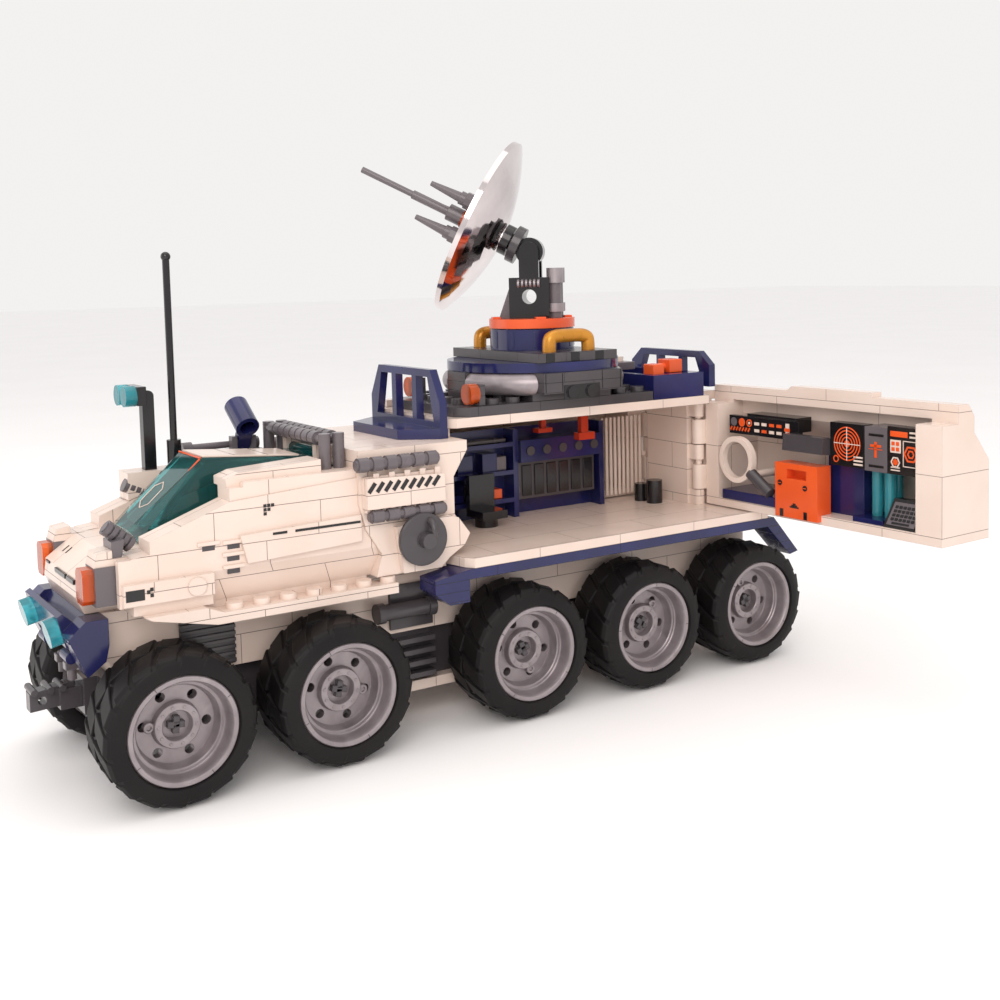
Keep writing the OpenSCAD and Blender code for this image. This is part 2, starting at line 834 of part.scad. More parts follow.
module door_trim() {
  x0 = door_x;
  color("#1f1d20")
  swung(open_a) {
    box([x0 + 3, 159, 81.8], [x0 + 5.2, 193, 88.4]);
    box([x0 + 5.2, 162, 84], [x0 + 12.8, 186, 89.2]);
    box([x0 + 3, 130, 75.4], [x0 + 7.2, 144.6, 89.8]);
    box([x0 + 7.2, 132, 84], [x0 + 12.8, 142, 89]);
    box([x0 + 3, 107.6, 75], [x0 + 7.2, 120.4, 90.4]);
    box([x0 + 7.2, 109, 84], [x0 + 12.8, 114, 89]);
    section(107.4, 120.4, [[x0 + 0.6, door_low + door_wall], [x0 + 9, door_low + door_wall],
      [x0 + 9, 66.6], [x0 + 6.5, 66.6]]);
  }
}

module door_console() {
  x0 = door_x;
  f = door_low + door_wall;
  color("#26264c")
  swung(open_a) {
    box([x0 + 7.2, 133.6, f], [x0 + 20.4, 149, 78.4]);
    box([x0 + 1, 120.8, f], [x0 + 12, 133.2, f + 1.6]);
    section(144.8, 163, [[x0 - 1, 78.8], [x0 + 2.8, 78.4], [x0 + 2.8, 84.4], [x0 - 0.4, 84.4]]);
    section(144.8, 158.8, [[x0 + 2.8, 78.4], [x0 + 14, 78.4], [x0 + 14, 80], [x0 + 2.8, 84.2]]);
  }
}

module magnifier() {
  x0 = door_x;
  color("#efe8e4")
  swung(open_a) {
    translate([x0 - 1.4, 185.6, 73])
      rotate([0, 90, 0])
        difference() {
          cylinder(h = 2.4, r = 8.4);
          translate([0, 0, -1]) cylinder(h = 5, r = 6.5);
        }
    rod_x(x0 + 0.2, x0 + 20.4, 178.2, 68.2, 1.4);
    translate([x0 - 0.2, 179.2, 68.8])
      rotate([123, 0, 0]) cylinder(h = 11.6, r = 2.1);
  }
}

module orange_box() {
  x0 = door_x;
  color("#f0602a")
  swung(open_a)
    difference() {
      union() {
        box([x0 - 2, 146, 55.8], [x0, 165.4, 74.6]);
        box([x0, 146, door_low + door_wall], [x0 + 4.8, 165.4, 74.6]);
      }
      box([x0 - 3, 151, 69.4], [x0 + 2, 160, 72.6]);
    }
}

module locker() {
  x0 = door_x;
  color("#8a8388")
  swung(open_a) {
    box([x0 + 3, 120.6, 75], [x0 + 12.8, 129.8, 89.6]);
    for (y = [123.4, 128.6])
      rod_z(door_low + door_wall + 1.6, 75, x0 + 8, y, 1.8);
  }
}

place() chassis();
place() lower_hull();
place() under_gear();
place() wheels(0);  // wheels_1
place() wheels(1);  // wheels_2
place() wheels(2);  // wheels_3
place() wheels(3);  // wheels_4
place() wheels(4);  // wheels_5
place() tyres(0);  // tyres_1
place() tyres(1);  // tyres_2
place() tyres(2);  // tyres_3
place() tyres(3);  // tyres_4
place() tyres(4);  // tyres_5
place() hood();
place() nose_trim();
place() amber_lamps();
place() bumper();
place() teal_lamps();
place() tow_arm();
place() sponsons();
place() side_panels();
place() side_rollers();
place() round_hatches();
place() cockpit();
place() shoulders();
place() canopy();
place() hose_arches();
place() lamp_mast();
place() whip_antenna();
place() roof_bar();
place() telescope();
place() bay_deck();
place() skirts();
place() bulkhead();
place() rear_wall();
place() roof_panel();
place() bay_shelves();
place() bay_chair();
place() bay_tools();
place() roof_deck();
place() railings();
place() roof_pipes();
place() turret_base();
place() turret_rings();
place() roof_handles();
place() rear_box();
place() turntable();
place() dish_bracket();
place() dish_arm();
place() dish();
place() dish_feed();
place() side_door();
place() door_trim();
place() door_console();
place() magnifier();
place() orange_box();
place() locker();
place() right_door();
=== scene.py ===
import bpy
import json
import math
from mathutils import Matrix, Vector


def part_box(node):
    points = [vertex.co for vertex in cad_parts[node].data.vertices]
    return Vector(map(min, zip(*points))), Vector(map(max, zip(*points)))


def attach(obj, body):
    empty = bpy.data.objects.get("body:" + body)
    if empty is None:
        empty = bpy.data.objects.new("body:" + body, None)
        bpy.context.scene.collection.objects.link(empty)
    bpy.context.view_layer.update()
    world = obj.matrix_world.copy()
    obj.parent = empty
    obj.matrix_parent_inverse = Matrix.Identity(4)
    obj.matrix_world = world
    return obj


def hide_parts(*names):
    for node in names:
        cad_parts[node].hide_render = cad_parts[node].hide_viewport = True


# A ten-wheeled planetary rover in moulded construction bricks. Lengths below are in millimetres,
# counted from the first axle (y), the centre plane (x) and the floor (z).

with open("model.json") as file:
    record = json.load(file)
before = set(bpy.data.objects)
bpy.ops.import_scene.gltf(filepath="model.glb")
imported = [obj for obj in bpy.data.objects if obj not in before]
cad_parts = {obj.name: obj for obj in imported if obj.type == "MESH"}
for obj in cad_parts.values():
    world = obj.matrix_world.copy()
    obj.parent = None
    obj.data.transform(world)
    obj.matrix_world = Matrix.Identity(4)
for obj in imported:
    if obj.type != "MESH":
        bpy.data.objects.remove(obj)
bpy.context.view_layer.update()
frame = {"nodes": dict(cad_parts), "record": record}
bpy.ops.object.select_all(action="DESELECT")
print("frame loaded")

lowFirst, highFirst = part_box("tyres_1")
lowMiddle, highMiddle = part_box("chassis")
zero = Vector(((lowMiddle.x + highMiddle.x) / 2, (lowFirst.y + highFirst.y) / 2, 0))
mm = 0.001


def at(x, y, z):
    return zero + Vector((x, y, z)) * mm


# the camera stands low at the nose, on the side of the open door
lens = {"place": (378.8, -105.2, 142.5), "turn": 55.27, "rise": 4.61, "roll": -1.17,
        "focal": 46.4, "shift": (-0.069, -0.1266)}
turn, rise, roll = (math.radians(lens[key]) for key in ("turn", "rise", "roll"))
back = Vector((math.sin(turn) * math.cos(rise), -math.cos(turn) * math.cos(rise), math.sin(rise)))
right = Vector((math.cos(turn), math.sin(turn), 0))
up = back.cross(right)
rolledRight = right * math.cos(roll) + up * math.sin(roll)
rolledUp = up * math.cos(roll) - right * math.sin(roll)
bpy.ops.object.camera_add()
camera = bpy.context.object
camera.name = "camera"
facing = Matrix((rolledRight, rolledUp, back)).transposed().to_4x4()
camera.matrix_world = Matrix.Translation(at(*lens["place"])) @ facing
camera.data.sensor_width = 36
camera.data.lens = lens["focal"]
camera.data.shift_x, camera.data.shift_y = lens["shift"]
camera.data.clip_start = 0.01
bpy.context.scene.camera = camera


# materials, each named for its plastic and how it was made

def linear(code):
    channels = [int(code[i:i + 2], 16) / 255 for i in (1, 3, 5)]
    return tuple(c / 12.92 if c <= 0.04045 else ((c + 0.055) / 1.055) ** 2.4 for c in channels)


def addNode(tree, kind, settings=None, links=None):
    node = tree.nodes.new(kind)
    for key, value in (settings or {}).items():
        if isinstance(key, int) or key in node.inputs:
            node.inputs[key].default_value = value
        else:
            setattr(node, key, value)
    for key, socket in (links or {}).items():
        tree.links.new(socket, node.inputs[key])
    return node


def startMaterial(name):
    made = bpy.data.materials.new(name)
    made.use_nodes = True
    tree = made.node_tree
    tree.nodes.clear()
    place = addNode(tree, "ShaderNodeTexCoord").outputs["Object"]
    return made, tree, place


def endMaterial(tree, shader):
    addNode(tree, "ShaderNodeOutputMaterial", links={"Surface": shader.outputs[0]})


def twoColours(tree, amount, first, second, start=0.35, end=0.65):
    ramp = addNode(tree, "ShaderNodeValToRGB", links={"Fac": amount})
    ramp.color_ramp.elements[0].position, ramp.color_ramp.elements[1].position = start, end
    ramp.color_ramp.elements[0].color = (*linear(first), 1)
    ramp.color_ramp.elements[1].color = (*linear(second), 1)
    return ramp.outputs["Color"]


# ABS, injection moulded and polished in the mould: even colour, a clear gloss with faint flow
# marks, rubbed edges, and painted shade: a fine dark line wherever two bricks meet, standing for the shadow
# in the gap.
def moulded(name, body, shade, rough=0.22, bricks=None, edge=0.25):
    made, tree, place = startMaterial(name)
    flow = addNode(tree, "ShaderNodeTexNoise", {"Scale": 45, "Detail": 3}, {"Vector": place})
    skin = addNode(tree, "ShaderNodeTexNoise", {"Scale": 900, "Detail": 2}, {"Vector": place})
    colour = twoColours(tree, flow.outputs["Fac"], shade, body)
    gloss = addNode(tree, "ShaderNodeMapRange", {"To Min": rough * 0.7, "To Max": rough * 1.35},
                    {"Value": flow.outputs["Fac"]})
    height = skin.outputs["Fac"]
    # painted shade: the joints between bricks are darkened in the colour, for the shadow in the gaps
    if bricks:
        gapShadeMask = brickGapShadeLines(tree, place, *bricks)
        colour = addNode(tree, "ShaderNodeMix", {"data_type": "RGBA", 7: (*linear(bricks[3]), 1)},
                         {0: gapShadeMask, 6: colour}).outputs[2]
    rounded = addNode(tree, "ShaderNodeBevel", {"samples": 3, "Radius": edge * mm})
    bump = addNode(tree, "ShaderNodeBump", {"Strength": 0.05, "Distance": 0.0002},
                   {"Height": height, "Normal": rounded.outputs[0]})
    if bricks:
        bump = addNode(tree, "ShaderNodeBump", {"Strength": 0.5, "Distance": 0.0003, "invert": True},
                       {"Height": gapShadeMask, "Normal": bump.outputs[0]})
    shader = addNode(tree, "ShaderNodeBsdfPrincipled", {"IOR": 1.52},
                     {"Base Color": colour, "Roughness": gloss.outputs[0], "Normal": bump.outputs[0]})
    endMaterial(tree, shader)
    return made


# painted shade in the joints of bricks laid in courses: course height, brick length, line width, colour of
# the painted shade line
def brickGapShadeLines(tree, place, course, length, line, gapShade):
    axes = addNode(tree, "ShaderNodeSeparateXYZ", links={"Vector": place})
    facing = addNode(tree, "ShaderNodeSeparateXYZ",
                     links={"Vector": addNode(tree, "ShaderNodeNewGeometry").outputs["True Normal"]})
    flat = addNode(tree, "ShaderNodeMath", {"operation": "ABSOLUTE"}, {0: facing.outputs["Z"]})
    flat = addNode(tree, "ShaderNodeMath", {"operation": "GREATER_THAN", 1: 0.8}, {0: flat.outputs[0]})
    along = addNode(tree, "ShaderNodeMath", links={0: axes.outputs["X"], 1: axes.outputs["Y"]})
    wall = addNode(tree, "ShaderNodeCombineXYZ", links={"X": along.outputs[0], "Y": axes.outputs["Z"]})
    roof = addNode(tree, "ShaderNodeCombineXYZ", links={"X": axes.outputs["Y"], "Y": axes.outputs["X"]})
    lines = []
    for flatWay, rows in ((wall, course), (roof, 16)):
        lines.append(addNode(tree, "ShaderNodeTexBrick", {
            "Scale": 1, "Mortar Size": line * mm / 2, "Mortar Smooth": 0.3, "Bias": 0,
            "Brick Width": length * mm, "Row Height": rows * mm, "offset": 0.5, "squash": 1.0,
            "Color1": (0, 0, 0, 1), "Color2": (0, 0, 0, 1), "Mortar": (1, 1, 1, 1)},
            {"Vector": flatWay.outputs[0]}).outputs["Fac"])
    both = addNode(tree, "ShaderNodeMix", {}, {0: flat.outputs[0], 2: lines[0], 3: lines[1]})
    return both.outputs[0]


# transparent ABS or polycarbonate: coloured right through, bright edges, faint flow marks
def clearPlastic(name, body, deep, through=0.85, rough=0.06):
    made, tree, place = startMaterial(name)
    flow = addNode(tree, "ShaderNodeTexNoise", {"Scale": 60, "Detail": 2}, {"Vector": place})
    colour = twoColours(tree, flow.outputs["Fac"], deep, body)
    bump = addNode(tree, "ShaderNodeBump", {"Strength": 0.04, "Distance": 0.0003},
                   {"Height": flow.outputs["Fac"]})
    gloss = addNode(tree, "ShaderNodeMapRange", {"To Min": rough * 0.6, "To Max": rough * 1.6},
                    {"Value": flow.outputs["Fac"]})
    shader = addNode(tree, "ShaderNodeBsdfPrincipled",
                     {"IOR": 1.45, "Transmission Weight": through},
                     {"Base Color": colour, "Roughness": gloss.outputs[0], "Normal": bump.outputs[0]})
    endMaterial(tree, shader)
    return made


# ABS with aluminium flake in the melt: a satin silver-grey with swirls where the melt met
def pearl(name, body, shade, metal=0.55, rough=0.34):
    made, tree, place = startMaterial(name)
    warp = addNode(tree, "ShaderNodeTexNoise", {"Scale": 120, "Detail": 4, "Distortion": 1.2},
                   {"Vector": place})
    flake = addNode(tree, "ShaderNodeTexNoise", {"Scale": 5200, "Detail": 1}, {"Vector": place})
    colour = twoColours(tree, warp.outputs["Fac"], shade, body, 0.3, 0.7)
    gloss = addNode(tree, "ShaderNodeMapRange", {"To Min": rough * 0.75, "To Max": rough * 1.3},
                    {"Value": warp.outputs["Fac"]})
    rounded = addNode(tree, "ShaderNodeBevel", {"samples": 3, "Radius": 0.2 * mm})
    bump = addNode(tree, "ShaderNodeBump", {"Strength": 0.08, "Distance": 0.0001},
                   {"Height": flake.outputs["Fac"], "Normal": rounded.outputs[0]})
    shader = addNode(tree, "ShaderNodeBsdfPrincipled", {"Metallic": metal},
                     {"Base Color": colour, "Roughness": gloss.outputs[0], "Normal": bump.outputs[0]})
    endMaterial(tree, shader)
    return made


# vulcanised rubber: dull, grippy, slightly browned, with dust in the grain of the mould
def rubber(name):
    made, tree, place = startMaterial(name)
    grain = addNode(tree, "ShaderNodeTexNoise", {"Scale": 1400, "Detail": 4}, {"Vector": place})
    dust = addNode(tree, "ShaderNodeTexNoise", {"Scale": 70, "Detail": 5}, {"Vector": place})
    colour = twoColours(tree, dust.outputs["Fac"], "#0d0b0c", "#1a1617", 0.35, 0.75)
    gloss = addNode(tree, "ShaderNodeMapRange", {"To Min": 0.42, "To Max": 0.62},
                    {"Value": dust.outputs["Fac"]})
    rounded = addNode(tree, "ShaderNodeBevel", {"samples": 3, "Radius": 0.3 * mm})
    bump = addNode(tree, "ShaderNodeBump", {"Strength": 0.25, "Distance": 0.0001},
                   {"Height": grain.outputs["Fac"], "Normal": rounded.outputs[0]})
    shader = addNode(tree, "ShaderNodeBsdfPrincipled", {"Specular IOR Level": 0.25},
                     {"Base Color": colour, "Roughness": gloss.outputs[0], "Normal": bump.outputs[0]})
    endMaterial(tree, shader)
    return made


# vacuum-plated ABS: a mirror with faint turning marks and a slight warm haze
def plated(name):
    made, tree, place = startMaterial(name)
    haze = addNode(tree, "ShaderNodeTexNoise", {"Scale": 60, "Detail": 4}, {"Vector": place})
    colour = twoColours(tree, haze.outputs["Fac"], "#c9c0c1", "#ded6d5")
    gloss = addNode(tree, "ShaderNodeMapRange", {"To Min": 0.04, "To Max": 0.12},
                    {"Value": haze.outputs["Fac"]})
    shader = addNode(tree, "ShaderNodeBsdfPrincipled", {"Metallic": 1.0},
                     {"Base Color": colour, "Roughness": gloss.outputs[0]})
    endMaterial(tree, shader)
    return made


# painted shade: the colour of the shadow in the gaps between white bricks
whiteGapShade = "#8d7b74"
finishes = {
    "white_abs": moulded("whiteAbs", "#e8d6ca", "#e3cfc2"),
    "navy_abs": moulded("navyAbs", "#20235a", "#1a1c4a", 0.16),
    "dark_grey_abs": moulded("darkGreyAbs", "#4b4649", "#423e41", 0.24),
    "grey_abs": moulded("greyAbs", "#6c6468", "#605a5e", 0.26),
    "pearl_abs": pearl("pearlSilverAbs", "#a39a9d", "#8d8487"),
    "black_abs": moulded("blackAbs", "#1b191b", "#141214", 0.16),
    "orange_abs": moulded("orangeAbs", "#f0602a", "#e4531f", 0.2),
    "amber_abs": pearl("pearlGoldAbs", "#d2902f", "#b87a22", 0.35, 0.28),
    "red_abs": moulded("redAbs", "#c03a1e", "#ad3017", 0.2),
    "amber_lens": clearPlastic("clearOrange", "#ff7a30", "#ee5e1c", 0.6, 0.08),
    "teal_lens": clearPlastic("clearTeal", "#4fc0cc", "#3aaab8", 0.6, 0.08),
    "teal_glass": clearPlastic("clearTealScreen", "#3f9d9d", "#358f90", 0.88, 0.05),
    "tyre_rubber": rubber("blackRubber"),
    "dish_chrome": plated("mirrorPlatedAbs"),
}
# white bricks, plates and panels with painted shade in the gaps between them
laidWhite = {
    "plates": moulded("whiteAbsPlates", "#e8d6ca", "#e3cfc2", 0.22, (3.2, 32, 0.22, whiteGapShade)),
    "bricks": moulded("whiteAbsBricks", "#e8d6ca", "#e3cfc2", 0.22, (9.6, 32, 0.24, whiteGapShade)),
    "panels": moulded("whiteAbsPanels", "#e8d6ca", "#e3cfc2", 0.2, (19.2, 48, 0.22, whiteGapShade)),
}
# dark grey and navy plates, also with painted shade in the gaps between them, in darker colours
laidDark = {
    "plates": moulded("darkGreyAbsPlates", "#4b4649", "#423e41", 0.24, (3.2, 24, 0.2, "#1d1a1c")),
    "navyPlates": moulded("navyAbsPlates", "#20235a", "#1a1c4a", 0.16, (3.2, 48, 0.2, "#0c0d26")),
}
laid = {"sponsons": laidWhite["bricks"], "side_panels": laidWhite["bricks"], "hood": laidWhite["bricks"],
        "lower_hull": laidWhite["bricks"], "bay_deck": laidWhite["plates"], "bulkhead": laidWhite["bricks"],
        "rear_wall": laidWhite["bricks"], "roof_panel": laidWhite["plates"], "shoulders": laidWhite["bricks"],
        "side_door": laidWhite["panels"], "right_door": laidWhite["panels"],
        "turret_base": laidDark["plates"], "roof_deck": laidDark["plates"], "skirts": laidDark["navyPlates"]}
slotOf = {part["node"]: part["material_slot"] for part in frame["record"]["subparts"]}
for name, node in frame["nodes"].items():
    node.data.materials.clear()
    node.data.materials.append(laid.get(name) or finishes[slotOf[name]])
print("materials made")

# a pale card floor under soft box lights

studio = {"floor": "#fcfbfb", "world": "#fffdfc", "worldLight": 0.9}
bpy.ops.mesh.primitive_plane_add(size=12, location=(0, 0, 0))
floor = bpy.context.object
floor.name = "floor"
made, tree, place = startMaterial("paleCard")
grain = addNode(tree, "ShaderNodeTexNoise", {"Scale": 8, "Detail": 3}, {"Vector": place})
shader = addNode(tree, "ShaderNodeBsdfPrincipled", {"Roughness": 0.9},
                 {"Base Color": twoColours(tree, grain.outputs["Fac"], "#faf9f9", studio["floor"])})
endMaterial(tree, shader)
floor.data.materials.append(made)

world = bpy.data.worlds.new("studio") if not bpy.context.scene.world else bpy.context.scene.world
bpy.context.scene.world = world
world.use_nodes = True
worldBack = world.node_tree.nodes["Background"]
worldBack.inputs["Color"].default_value = (*linear(studio["world"]), 1)
worldBack.inputs["Strength"].default_value = studio["worldLight"]
lamps = {
    "frontBox": {"from": (620, -330, 520), "to": (0, 90, 60), "power": 3.0, "size": 0.5},
    "overhead": {"from": (-60, 60, 900), "to": (0, 100, 60), "power": 2.2, "size": 0.9},
    "sideFill": {"from": (-500, -620, 300), "to": (0, 60, 60), "power": 1.0, "size": 0.6},
}
for name, lamp in lamps.items():
    bpy.ops.object.light_add(type="AREA", location=at(*lamp["from"]))
    light = bpy.context.object
    light.name = name
    light.data.energy = lamp["power"]
    light.data.size = lamp["size"]
    light.data.color = (1.0, 0.93, 0.89)
    aim = at(*lamp["to"]) - at(*lamp["from"])
    light.rotation_euler = aim.to_track_quat("-Z", "Y").to_euler()
bpy.context.scene.view_settings.view_transform = "Standard"
print("studio set")

# ways of making the pieces

def only(*objects):
    bpy.ops.object.select_all(action="DESELECT")
    for each in objects:
        each.select_set(True)
    bpy.context.view_layer.objects.active = objects[0]


def settle(made, matrix=None):
    if matrix is not None:
        bpy.context.view_layer.update()
        made.matrix_world = matrix @ made.matrix_world
    only(made)
    bpy.ops.object.transform_apply(location=True, rotation=True, scale=True)
    return made


def paint(made, finish):
    made.data.materials.clear()
    made.data.materials.append(finishes[finish] if isinstance(finish, str) else finish)
    return made


def soften(made, width, segments=2):
    if width:
        only(made)
        bpy.ops.object.mode_set(mode="EDIT")
        bpy.ops.mesh.select_all(action="SELECT")
        bpy.ops.mesh.bevel(offset=width * mm, segments=segments, affect="EDGES")
        bpy.ops.object.mode_set(mode="OBJECT")
    return made


def block(low, high, finish, edge=0.3, matrix=None):
    low, high = Vector(low), Vector(high)
    bpy.ops.mesh.primitive_cube_add(size=1, location=(low + high) / 2 * mm)
    made = bpy.context.object
    made.scale = (high - low) * mm
    return paint(soften(settle(made, matrix or moved), edge), finish)


# a rod between two points
def rod(start, end, radius, finish, edge=0.2, sides=20, matrix=None):
    start, end = Vector(start), Vector(end)
    bpy.ops.mesh.primitive_cylinder_add(vertices=sides, radius=radius * mm,
                                        depth=(end - start).length * mm)
    made = bpy.context.object
    made.matrix_world = (Matrix.Translation((start + end) / 2 * mm)
                         @ (end - start).to_track_quat("Z", "Y").to_matrix().to_4x4())
    settle(made, matrix or moved)
    if edge:
        only(made)
        bpy.ops.object.mode_set(mode="EDIT")
        bpy.ops.mesh.select_all(action="DESELECT")
        bpy.ops.mesh.select_face_by_sides(number=sides)
        bpy.ops.mesh.inset(thickness=edge * mm)
        bpy.ops.object.mode_set(mode="OBJECT")
        smoothRound(made)
    return paint(made, finish)


def smoothRound(made, angle=40):
    only(made)
    bpy.ops.object.shade_smooth_by_angle(angle=math.radians(angle))
    return made


# a form turned about its own z axis from rings of (radius, height): filled at both ends, or
# hollow with its last ring on its first
def turned(rings, finish, sides=48, matrix=None, angle=30, hollow=False):
    bpy.ops.mesh.primitive_circle_add(vertices=sides, radius=rings[0][0] * mm,
                                      fill_type="NOTHING" if hollow else "NGON",
                                      location=(0, 0, rings[0][1] * mm))
    made = settle(bpy.context.object)
    bpy.ops.object.mode_set(mode="EDIT")
    bpy.ops.mesh.select_all(action="SELECT")
    push = bpy.ops.mesh.extrude_edges_move if hollow else bpy.ops.mesh.extrude_region_move
    for (radius, height), (nextRadius, nextHeight) in zip(rings, rings[1:]):
        push(TRANSFORM_OT_translate={"value": (0, 0, (nextHeight - height) * mm)})
        grow = nextRadius / radius
        bpy.ops.transform.resize(value=(grow, grow, 1), center_override=(0, 0, nextHeight * mm))
    bpy.ops.mesh.select_all(action="SELECT")
    bpy.ops.mesh.remove_doubles(threshold=0.001 * mm)
    bpy.ops.mesh.normals_make_consistent(inside=False)
    bpy.ops.object.mode_set(mode="OBJECT")
    settle(made, matrix or moved)
    return paint(smoothRound(made, angle), finish)


def copyOf(made, matrix=None):
    only(made)
    bpy.ops.object.duplicate()
    twin = bpy.context.object
    return settle(twin, matrix) if matrix is not None else twin


def joined(parts, name=None):
    only(*parts)
    if len(parts) > 1:
        bpy.ops.object.join()
    made = bpy.context.object
    if name:
        made.name = name
        made.data.name = name
    return made


def fitted(name, parts, body, instead=()):
    made = joined(parts, name)
    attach(made, body)
    if instead:
        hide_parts(*instead)
    return made


moved = Matrix.Translation(zero)  # from the toy's own measures to the frame's place


# wheels: one tyre and one rim, copied to the ten places

wheel = {"tyreRadius": 21.6, "halfWidth": 11, "lugs": 18, "lugWide": 5.4, "middle": 33.5,
         "axles": (0, 48, 112, 160, 208), "leftTurns": (-95, 78, 20, 140, 200)}


def tyreLug():
    bpy.ops.mesh.primitive_plane_add(size=1)
    made = bpy.context.object
    made.scale = (1.7 * mm, wheel["lugWide"] * mm, 1)
    made.location = (20.1 * mm, -2.6 * mm, 0.5 * mm)
    settle(made)
    bpy.ops.object.mode_set(mode="EDIT")
    bpy.ops.mesh.select_all(action="SELECT")
    for step in ((0, 2.2, 4), (-0.1, 1.9, 4), (-0.9, 0.7, 1.5), (-2.6, 0.4, 0.75)):
        bpy.ops.mesh.extrude_region_move(
            TRANSFORM_OT_translate={"value": tuple(length * mm for length in step)})
    bpy.ops.mesh.select_all(action="SELECT")
    bpy.ops.mesh.normals_make_consistent(inside=False)
    bpy.ops.object.mode_set(mode="OBJECT")
    return paint(soften(made, 0.22, 1), "tyre_rubber")


def tyre():
    half = wheel["halfWidth"]
    carcass = [(15.2, -half + 1), (15.6, -half + 0.15), (17.2, -half), (19.3, -half + 0.7),
               (20.3, -half + 2), (20.5, -7), (20.5, 7), (20.3, half - 2), (19.3, half - 0.7),
               (17.2, half), (15.6, half - 0.15), (15.2, half - 1), (15.2, -half + 1)]
    parts = [turned(carcass, "tyre_rubber", 72, Matrix(), hollow=True)]
    lug = tyreLug()
    for i in range(wheel["lugs"]):
        angle = math.radians(360 / wheel["lugs"] * i)
        parts.append(copyOf(lug, Matrix.Rotation(angle, 4, "Z")))
        flip = Matrix.Rotation(angle + math.pi / wheel["lugs"], 4, "Z") @ Matrix.Rotation(math.pi, 4, "X")
        parts.append(copyOf(lug, flip))
    bpy.data.objects.remove(lug)
    return joined(parts)


def rim():
    shape = [(0.3, -1.4), (10.9, -1.4), (12.4, -4), (13.5, -9.3), (14.2, -10), (15.19, -10),
             (15.19, 9.9), (14.9, 10.25), (13.75, 10.25), (13.45, 9.9), (13.1, 8.6), (12.75, 5.9),
             (12.5, 5.6), (11.75, 5.6), (11.5, 5.3), (11.1, 2.3), (10.8, 1.9), (6.7, 1.9), (6.5, 2.1),
             (6.3, 4.15), (6.1, 4.35), (4.3, 4.35), (4.1, 4.1), (4.0, 1.5), (0.3, 1.5)]
    face = turned(shape, "pearl_abs", 72, Matrix())
    for i in range(6):
        angle = math.radians(60 * i)
        centre = Vector((math.cos(angle), math.sin(angle), 0)) * 8.75
        cutter = rod(centre + Vector((0, 0, -4)), centre + Vector((0, 0, 5)), 1.35, "black_abs", 0, 20,
                     Matrix())
        cut = face.modifiers.new("hole", "BOOLEAN")
        cut.operation, cut.object, cut.solver = "DIFFERENCE", cutter, "EXACT"
        only(face)
        bpy.ops.object.modifier_apply(modifier="hole")
        bpy.data.objects.remove(cutter)
    parts = [smoothRound(face, 30)]
    for i in range(10):
        angle = math.radians(36 * i)
        centre = Vector((math.cos(angle), math.sin(angle), 0)) * 5.2
        parts.append(rod(centre + Vector((0, 0, 4.2)), centre + Vector((0, 0, 4.55)), 0.42,
                         "pearl_abs", 0.08, 10, Matrix()))
    parts.append(turned([(1.5, 1.7), (1.5, 3.3), (1.3, 3.5), (0.75, 3.5), (0.7, 2.9), (0.2, 2.9)],
                        "pearl_abs", 20, Matrix.Translation((7.5 * mm, 0, 0))))
    for long, wide in ((2.35, 0.9), (0.9, 2.35)):
        parts.append(block((-long, -wide, 1), (long, wide, 3.4), "dark_grey_abs", 0.12, Matrix()))
    for angle in (35, 125, 215, 305):
        out = Matrix.Rotation(math.radians(angle), 4, "Z")
        parts.append(block((13.9, -0.08, 10.1), (15, 0.08, 10.3), "dark_grey_abs", 0, out))
    return joined(parts)


tyreMaster, rimMaster = tyre(), rim()
for i, along in enumerate(wheel["axles"]):
    tyres, rims = [], []
    for side, spin in ((1, wheel["leftTurns"][i]), (-1, wheel["leftTurns"][i] + 57)):
        outward = Matrix.Rotation(math.radians(90 * side), 4, "Y")
        turnedBy = Matrix.Rotation(math.radians(spin), 4, "Z")
        put = Matrix.Translation(at(side * wheel["middle"], along, 21.6)) @ outward @ turnedBy
        tyres.append(copyOf(tyreMaster, put))
        rims.append(copyOf(rimMaster, put))
    rims.append(rod((-33, along, 21.6), (33, along, 21.6), 2.35, "dark_grey_abs"))
    fitted(f"tyrePair{i + 1}", tyres, f"axle_{i + 1}", [f"tyres_{i + 1}"])
    fitted(f"rimPair{i + 1}", rims, f"axle_{i + 1}", [f"wheels_{i + 1}"])
bpy.data.objects.remove(tyreMaster)
bpy.data.objects.remove(rimMaster)
print("wheels made")

slotNamed = {finish.name: slot for slot, finish in finishes.items()}


# parts in several finishes become one piece for each finish
def kit(name, parts, body, instead=()):
    sorts = {}
    for part in parts:
        sorts.setdefault(slotNamed[part.data.materials[0].name], []).append(part)
    for i, (slot, same) in enumerate(sorts.items()):
        fitted(name + slot.title().replace("_", ""), same, body, instead if i == 0 else ())


def placed(x, y, z, axis="Z", degrees=0, within=None):
    spot = Matrix.Translation(Vector((x, y, z)) * mm) @ Matrix.Rotation(math.radians(degrees), 4, axis)
    return (within or moved) @ spot


# a block on the left or, mirrored, on the right side
def sideBlock(side, low, high, finish, edge=0.1):
    xs = sorted((side * low[0], side * high[0]))
    return block((xs[0], *low[1:]), (xs[1], *high[1:]), finish, edge)


# a flat printed ring that faces along -x of its matrix
def ringMark(y, z, x, radius, wide, finish, matrix, sides=32):
    turnedUp = placed(x, y, z, "Y", -90, matrix)
    inner = max(radius - wide, 0.02)
    return turned([(inner, 0), (radius, 0), (radius, 0.16), (inner, 0.16), (inner, 0)], finish, sides,
                  turnedUp, 30, True)


